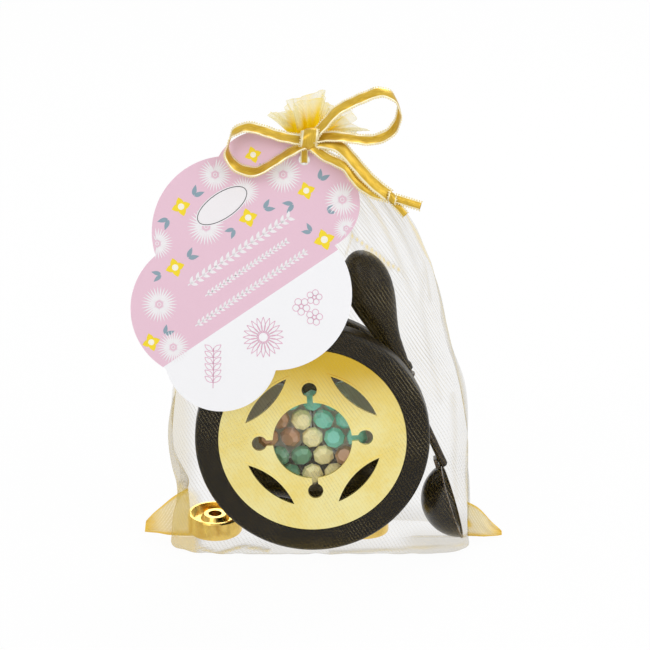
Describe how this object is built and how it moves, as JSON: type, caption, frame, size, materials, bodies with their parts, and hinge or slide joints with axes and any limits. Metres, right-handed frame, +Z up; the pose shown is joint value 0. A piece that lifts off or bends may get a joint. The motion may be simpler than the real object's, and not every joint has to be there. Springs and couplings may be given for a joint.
{
  "type": "wax seal set box",
  "caption": "Tied organza gift bag that holds a sealing-wax kit: candle furnace with a pierced plate, spoon, stamp with spare heads, tealights and wax beads, with a card tag.",
  "frame": {"origin": "on the floor under the furnace's axis, at the underside of the bag", "axes": "+Z up, the bag's front and the furnace's pierced plate face -Y, +X to the viewer's right"},
  "size_m": [0.1665, 0.0586, 0.2137],
  "materials": {
    "black_wood": "satin black paint over turned wood",
    "spoon_wood": "dark stained, polished",
    "gold_plate": "satin pale gold",
    "brass": "polished",
    "post_metal": "satin black",
    "screw_metal": "plated",
    "black_metal": "satin black, enamelled",
    "foil": "pressed foil",
    "wax": "paraffin wax, waxy sheen",
    "wick": "waxed cotton",
    "teal_wax": "sealing wax",
    "cream_wax": "sealing wax",
    "copper_wax": "sealing wax",
    "green_wax": "sealing wax",
    "clear_film": "clear plastic film",
    "organza": "sheer woven organza with a sheen",
    "gathered_organza": "gathered organza, several layers",
    "satin": "gold satin ribbon with metallic edges",
    "card": "printed card, pink over white"
  },
  "bodies": {
    "tied_bag": {"furnace_ring": "black_wood", "furnace_plate": "gold_plate", "furnace_posts": "post_metal", "furnace_base": "black_wood", "base_screws": "screw_metal", "seal_head_left": "brass", "seal_head_right": "brass", "tealight_cup_left": "foil", "tealight_wax_left": "wax", "tealight_wick_left": "wick", "tealight_cup_right": "foil", "tealight_wax_right": "wax", "tealight_wick_right": "wick", "beads_teal": "teal_wax", "beads_cream": "cream_wax", "beads_copper": "copper_wax", "beads_green": "green_wax", "bead_pouch": "clear_film", "bag_front": "organza", "bag_back": "organza", "bag_corner_left": "organza", "bag_corner_right": "organza", "bag_frill": "gathered_organza", "ribbon_wrap": "satin", "tag_tie": "satin", "bow_knot": "satin", "bow_loop_left": "satin", "bow_loop_right": "satin", "ribbon_tail_upper": "satin", "ribbon_tail_lower": "satin", "tail_knot": "satin", "ribbon_ends": "satin"},
    "stamp_turning": {"stamp_handle": "black_wood", "stamp_stud": "brass"},
    "stamp_head": {"seal_head_fitted": "brass"},
    "spoon": {"spoon_bowl": "black_metal", "spoon_neck": "black_metal", "spoon_ferrule": "black_metal", "spoon_handle": "spoon_wood"},
    "tag": {"tag_card": "card"}
  },
  "joints": [
    {"name": "stamp_turn", "type": "hinge", "parent": "tied_bag", "child": "stamp_turning", "pos_m": [0, -0.003, 0.02546], "axis": [1, 0, 0], "range_deg": [0, 1840]},
    {"name": "stamp_head_unscrew", "type": "slide", "parent": "tied_bag", "child": "stamp_head", "axis": [-1, 0, 0], "range_m": [0, 0.005]},
    {"name": "spoon_lift", "type": "slide", "parent": "tied_bag", "child": "spoon", "axis": [0, 0, 1], "range_m": [0, 0.012]},
    {"name": "tag_swing", "type": "hinge", "parent": "tied_bag", "child": "tag", "pos_m": [-0.0036, -0.0147, 0.1798], "axis": [0, -0.9781, 0.2079], "range_deg": [-6, 20]}
  ],
  "couplings": [
    {"joint": "stamp_turn", "follows": "stamp_head_unscrew", "rad_per_m": 6283.2}
  ]
}
